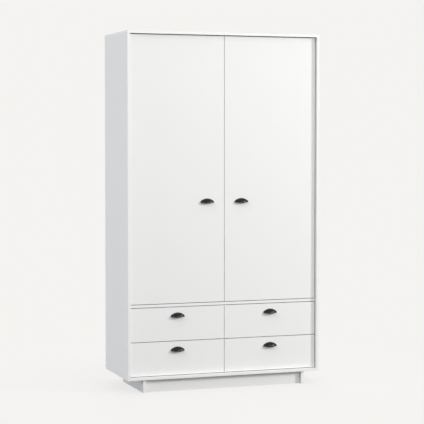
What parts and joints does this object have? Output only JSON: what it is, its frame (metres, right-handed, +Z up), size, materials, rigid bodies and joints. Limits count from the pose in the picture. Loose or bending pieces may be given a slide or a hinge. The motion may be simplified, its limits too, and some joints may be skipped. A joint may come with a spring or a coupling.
{
  "type": "wardrobe",
  "caption": "White wardrobe with hinged inset doors above inset drawers, black cup pulls and a recessed plinth; inside a hanging rail and shelves.",
  "frame": {"origin": "on the floor, below the middle of the whole object's box with its pulls", "axes": "+Z up, the doors and drawers face -Y, +X to the right of someone facing them"},
  "size_m": [1.2, 0.505, 2.106],
  "materials": {
    "white_laminate": "fine matt melamine laminate on board",
    "white_hardboard": "painted hardboard",
    "black_pull": "satin black powder coat",
    "nickel_steel": "nickel plated",
    "zinc_steel": "zinc plated",
    "chrome": "polished chrome",
    "white_coated_steel": "white epoxy coat"
  },
  "bodies": {
    "carcass": {"back_panel_left": "white_hardboard", "back_panel_right": "white_hardboard", "bottom_panel": "white_laminate", "cam_fittings": "zinc_steel", "fixed_shelf": "white_laminate", "hanging_rail": "chrome", "hat_shelf": "white_laminate", "hinge_arms": "nickel_steel", "hinge_pins": "nickel_steel", "left_side_panel": "white_laminate", "lower_partition": "white_laminate", "plinth_front_board": "white_laminate", "plinth_left_board": "white_laminate", "plinth_rear_board": "white_laminate", "plinth_right_board": "white_laminate", "rail_brackets": "chrome", "right_shelf_1": "white_laminate", "right_shelf_2": "white_laminate", "right_shelf_3": "white_laminate", "right_side_panel": "white_laminate", "runner_channels": "white_coated_steel", "shelf_pins": "nickel_steel", "top_panel": "white_laminate", "upper_partition": "white_laminate"},
    "left_door": {"left_door": "white_laminate", "left_door_handle": "black_pull", "left_door_handle_screws": "zinc_steel", "left_hinge_cups": "nickel_steel"},
    "right_door": {"right_door": "white_laminate", "right_door_handle": "black_pull", "right_door_handle_screws": "zinc_steel", "right_hinge_cups": "nickel_steel"},
    "lower_left_drawer": {"lower_left_drawer_back": "white_laminate", "lower_left_drawer_bottom": "white_laminate", "lower_left_drawer_front": "white_laminate", "lower_left_drawer_handle": "black_pull", "lower_left_drawer_handle_screws": "zinc_steel", "lower_left_drawer_side_left": "white_coated_steel", "lower_left_drawer_side_right": "white_coated_steel"},
    "lower_right_drawer": {"lower_right_drawer_back": "white_laminate", "lower_right_drawer_bottom": "white_laminate", "lower_right_drawer_front": "white_laminate", "lower_right_drawer_handle": "black_pull", "lower_right_drawer_handle_screws": "zinc_steel", "lower_right_drawer_side_left": "white_coated_steel", "lower_right_drawer_side_right": "white_coated_steel"},
    "upper_left_drawer": {"upper_left_drawer_back": "white_laminate", "upper_left_drawer_bottom": "white_laminate", "upper_left_drawer_front": "white_laminate", "upper_left_drawer_handle": "black_pull", "upper_left_drawer_handle_screws": "zinc_steel", "upper_left_drawer_side_left": "white_coated_steel", "upper_left_drawer_side_right": "white_coated_steel"},
    "upper_right_drawer": {"upper_right_drawer_back": "white_laminate", "upper_right_drawer_bottom": "white_laminate", "upper_right_drawer_front": "white_laminate", "upper_right_drawer_handle": "black_pull", "upper_right_drawer_handle_screws": "zinc_steel", "upper_right_drawer_side_left": "white_coated_steel", "upper_right_drawer_side_right": "white_coated_steel"}
  },
  "joints": [
    {"name": "left_door_hinge", "type": "hinge", "parent": "carcass", "child": "left_door", "pos_m": [-0.57, -0.218, 0.517], "axis": [0, 0, -1], "range_deg": [0, 95]},
    {"name": "right_door_hinge", "type": "hinge", "parent": "carcass", "child": "right_door", "pos_m": [0.57, -0.218, 0.517], "axis": [0, 0, 1], "range_deg": [0, 95]},
    {"name": "lower_left_drawer_slide", "type": "slide", "parent": "carcass", "child": "lower_left_drawer", "axis": [0, -1, 0], "range_m": [0, 0.335]},
    {"name": "lower_right_drawer_slide", "type": "slide", "parent": "carcass", "child": "lower_right_drawer", "axis": [0, -1, 0], "range_m": [0, 0.335]},
    {"name": "upper_left_drawer_slide", "type": "slide", "parent": "carcass", "child": "upper_left_drawer", "axis": [0, -1, 0], "range_m": [0, 0.335]},
    {"name": "upper_right_drawer_slide", "type": "slide", "parent": "carcass", "child": "upper_right_drawer", "axis": [0, -1, 0], "range_m": [0, 0.335]}
  ]
}
